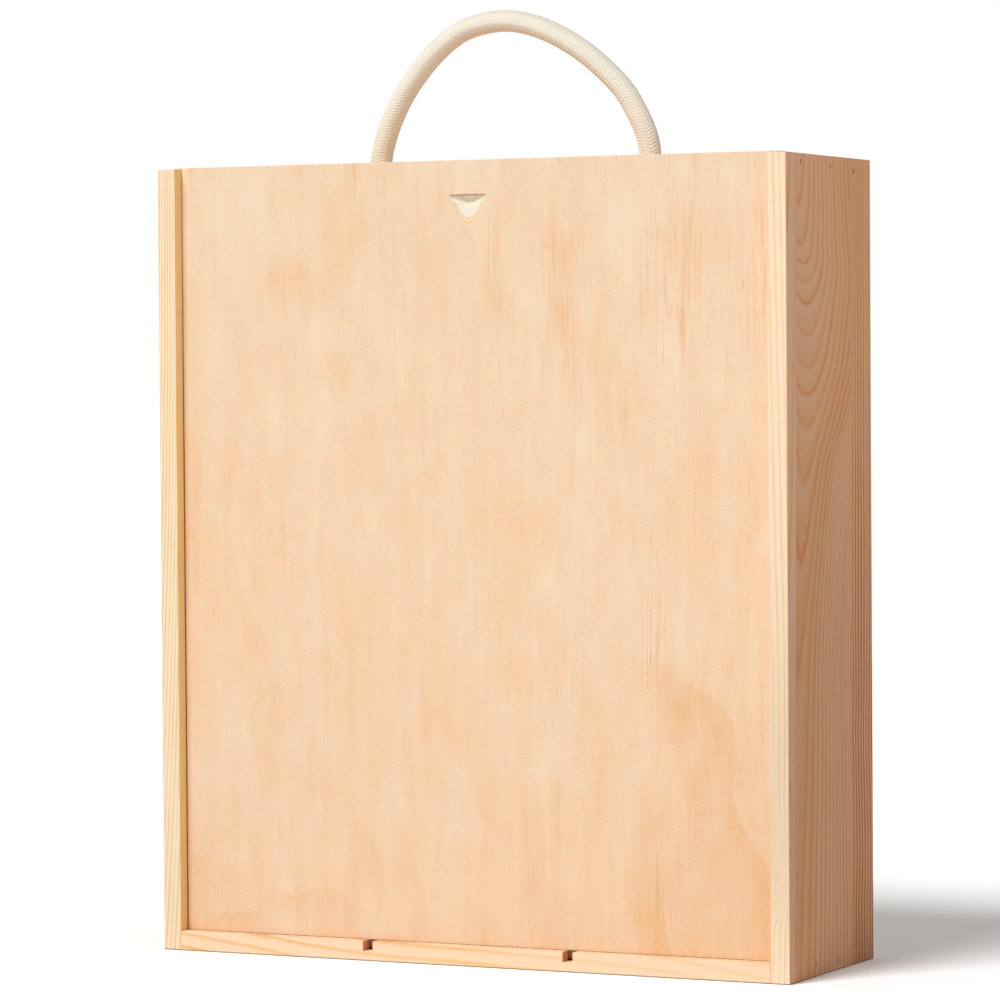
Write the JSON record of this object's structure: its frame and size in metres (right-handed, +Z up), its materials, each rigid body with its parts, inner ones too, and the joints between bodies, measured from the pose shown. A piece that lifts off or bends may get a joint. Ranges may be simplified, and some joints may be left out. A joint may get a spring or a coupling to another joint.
{
  "type": "wooden wine box",
  "caption": "Upright pine box with a plywood lid that slides up in a groove, loose dividers that part it into bays for wine bottles, and a braided rope handle.",
  "frame": {"origin": "centre of the underside, where the box stands", "axes": "+Z up along the sliding lid, +Y to the back, -Y to the lid, +X to the right as seen from the lid"},
  "size_m": [0.313, 0.098, 0.4309],
  "materials": {
    "side_boards": "planed pine, glued up from strips, unsealed",
    "top_board": "planed pine, unsealed",
    "bottom_board": "planed pine, unsealed",
    "lid_plywood": "sanded pine plywood, unsealed",
    "back_plywood": "sanded pine plywood, unsealed",
    "dividers": "sawn pine plywood, unsealed",
    "rope": "braided undyed cotton rope",
    "nails": "dull wire nails, sunk a little into the wood"
  },
  "bodies": {
    "box": {"left_side_front_strip": "side_boards", "left_side_core": "side_boards", "left_side_rear_strip": "side_boards", "right_side_front_strip": "side_boards", "right_side_core": "side_boards", "right_side_rear_strip": "side_boards", "top_board": "top_board", "bottom_board": "bottom_board", "back_panel": "back_plywood", "rope_in_left_hole": "rope", "rope_in_right_hole": "rope", "left_rope_knot": "rope", "right_rope_knot": "rope", "top_left_nails": "nails", "top_right_nails": "nails", "bottom_left_nails": "nails", "bottom_right_nails": "nails", "back_pins_top": "nails", "back_pins_bottom": "nails"},
    "lid": {"sliding_lid": "lid_plywood"},
    "left_divider": {"divider_left": "dividers"},
    "right_divider": {"divider_right": "dividers"},
    "handle": {"rope_arch": "rope"}
  },
  "joints": [
    {"name": "lid_slide", "type": "slide", "parent": "box", "child": "lid", "axis": [0, 0, 1], "range_m": [0, 0.42]},
    {"name": "handle_swing", "type": "hinge", "parent": "box", "child": "handle", "pos_m": [0, 0.005, 0.3653], "axis": [1, 0, 0], "range_deg": [-75, 75], "stiffness_Nm_per_rad": 0.03},
    {"name": "left_divider_shift", "type": "slide", "parent": "box", "child": "left_divider", "axis": [0, -1, 0], "range_m": [0, 0.0014]},
    {"name": "right_divider_shift", "type": "slide", "parent": "box", "child": "right_divider", "axis": [0, -1, 0], "range_m": [0, 0.0014]}
  ]
}
